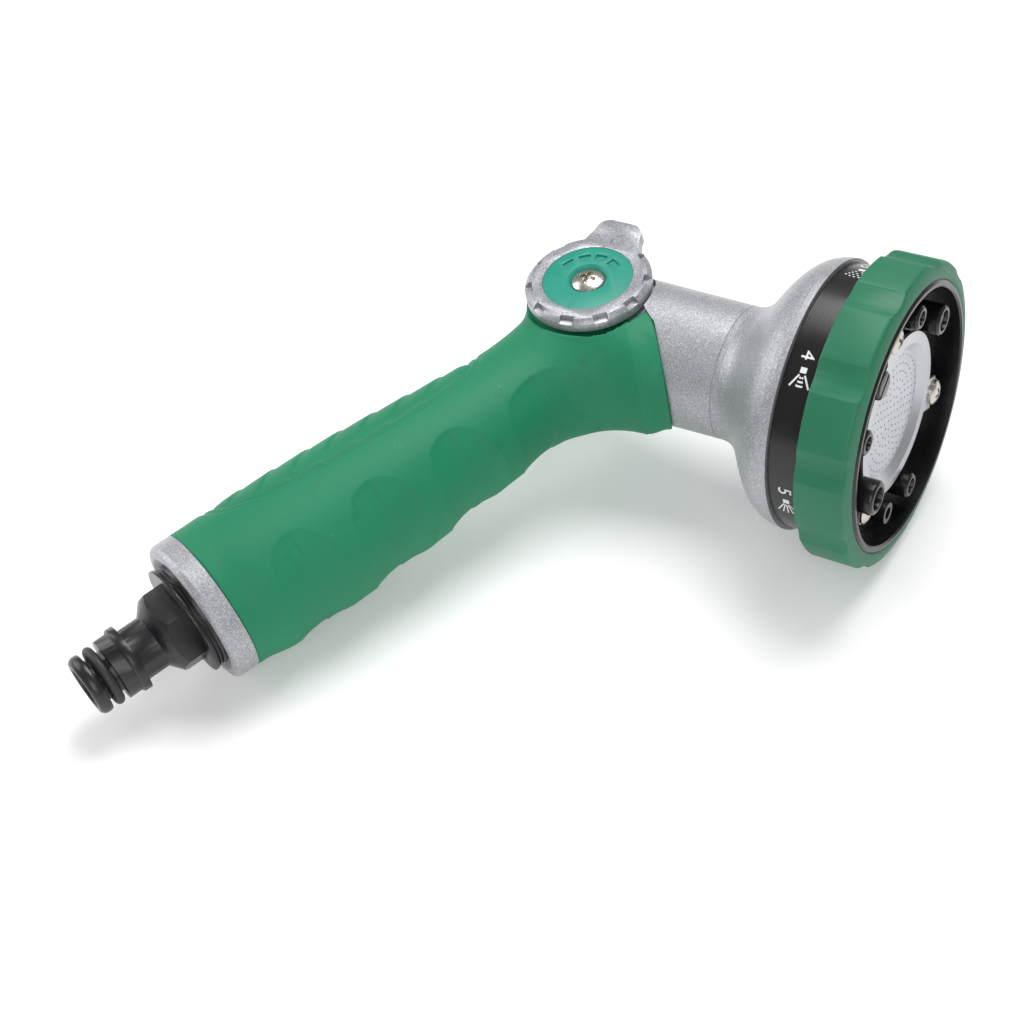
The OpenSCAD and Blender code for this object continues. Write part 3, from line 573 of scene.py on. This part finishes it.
for number, spray in enumerate(sprays):
    turn = FIRST_MARK + MARK_STEP * number
    text = bpy.data.curves.new("numeral", "FONT")
    text.body, text.size, text.align_x = str(number + 1), NUMERAL_SIZE, "CENTER"
    text.resolution_u = 4
    shape = bpy.data.objects.new("numeral", text)
    bpy.context.scene.collection.objects.link(shape)
    bpy.context.view_layer.update()
    flat = bpy.data.meshes.new_from_object(
        shape.evaluated_get(bpy.context.evaluated_depsgraph_get()))
    for face in flat.polygons:
        corners = [flat.vertices[i].co for i in face.vertices]
        print_mark([(c.x + NUMERAL_AT[0], c.y + NUMERAL_AT[1]) for c in corners], turn)
    bpy.data.objects.remove(shape)
    nozzle = bar((-0.6, 0), (0.7, 0), 1.5)
    for corners in [nozzle] + spray:
        print_mark(corners, turn)
marks = piece("pattern_marks", mark_points, mark_faces, "spray_turret")
marks.data.shade_flat()
ink = Finish("white_print")
faded = ink.step(ink.noise(0.9, 4, 0.6), 0.62, 0.72)
colour = ink.blend(faded * 0.5, linear(226, 226, 228), linear(120, 120, 122))
ink.done(marks, Base_Color=colour, Roughness=0.42 + 0.2 * faded)

# Grip ring: hard green rubber moulded round the turret, with shallow scallops for the fingers
# that turn it from one pattern to the next.
ring = softened("turret_grip_ring", "turret_grip", "spray_turret", 0.5, 12)
tpr = Finish("hard_green_rubber")
cloud = tpr.noise(20, 3)
rub = tpr.step(tpr.noise(3.2, 5, 0.66), 0.62, 0.72)
colour = tpr.blend(cloud, linear(12, 100, 70), linear(20, 114, 80))
colour = tpr.blend(rub * 0.25, colour, linear(18, 72, 52))
tpr.done(ring, Base_Color=colour, Roughness=0.44 + 0.14 * cloud,
         Normal=tpr.relief(tpr.noise(0.32, 2, 0.6), 0.018, tpr.relief(tpr.noise(1.2, 3), 0.03)))

# Shower plate: thin stainless steel, stamped with a shallow dish and pierced by rings of
# pinholes, held by three ears. The filter, springs, ball and washer inside are steel too.
steel = Finish("satin_stainless")
brushed = steel.noise(0.5, 4, 0.7)
cloud = steel.noise(11, 3)
colour = steel.blend(cloud, linear(176, 177, 182), linear(200, 201, 206))
steel.done(cad["shower_plate"], cad["inlet_filter"], cad["port_spring"], cad["detent_ball"],
           cad["detent_spring"], cad["pivot_washer"], Base_Color=colour, Metallic=0.85,
           Roughness=0.30 + 0.16 * brushed, Normal=steel.relief(brushed, 0.012))

# Stage: a plain pale floor, soft studio light and the camera, none of them part of the nozzle.
floor_z, FLOOR_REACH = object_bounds()[0][2], 3.0
floor_mesh = bpy.data.meshes.new("floor")
floor_mesh.from_pydata([(FLOOR_REACH * i, FLOOR_REACH * j, floor_z)
                        for i, j in ((-1, -1), (1, -1), (1, 1), (-1, 1))], [], [(0, 1, 2, 3)])
floor = bpy.data.objects.new("floor", floor_mesh)
bpy.context.scene.collection.objects.link(floor)
paper = Finish("pale_paper")
colour = paper.blend(paper.noise(400, 2), (0.86, 0.86, 0.86, 1), (0.90, 0.90, 0.90, 1))
paper.done(floor, Base_Color=colour, Roughness=0.9, Specular_IOR_Level=0.1,
           Emission_Color=(1, 1, 1, 1), Emission_Strength=0.16)

sky = bpy.data.worlds.new("studio")
bpy.context.scene.world = sky
sky.use_nodes = True
background = sky.node_tree.nodes["Background"].inputs
background["Color"].default_value = (1.0, 1.0, 1.0, 1.0)
background["Strength"].default_value = 0.33
middle = Vector(world([[20, -20, 0]])[0])


def lamp(name, place, size, power):
    """A square soft box of size m and power W at an elbow-frame place, facing the nozzle."""
    light = bpy.data.lights.new(name, "AREA")
    light.size, light.energy = size, power
    made = bpy.data.objects.new(name, light)
    bpy.context.scene.collection.objects.link(made)
    made.location = world([place])[0]
    made.rotation_euler = (middle - made.location).to_track_quat("-Z", "Y").to_euler()


lamp("soft_box_above", (60, 420, 820), 0.6, 8.0)
lamp("soft_box_front", (420, -560, 420), 0.5, 2.2)
lamp("soft_box_left", (-620, -120, 420), 0.5, 2.4)

CAMERA_AT = (203.75, -277.14, 313.04)
CAMERA_RIGHT = (0.84777, 0.49906, -0.17952)
CAMERA_UP = (-0.27350, 0.70138, 0.65823)
CAMERA_BACK = (0.45441, -0.50892, 0.73110)
camera_data = bpy.data.cameras.new("camera")
camera = bpy.data.objects.new("camera", camera_data)
bpy.context.scene.collection.objects.link(camera)
camera_data.lens, camera_data.sensor_width, camera_data.clip_end = 65.04, 36, 20
view = np.array([CAMERA_RIGHT, CAMERA_UP, CAMERA_BACK]) @ np.stack([ahead, aside, stem])
camera.matrix_world = Matrix.Translation(world([CAMERA_AT])[0]) @ Matrix(
    view.T.tolist()).to_4x4()
bpy.context.scene.camera = camera
bpy.context.scene.view_settings.view_transform = "Standard"
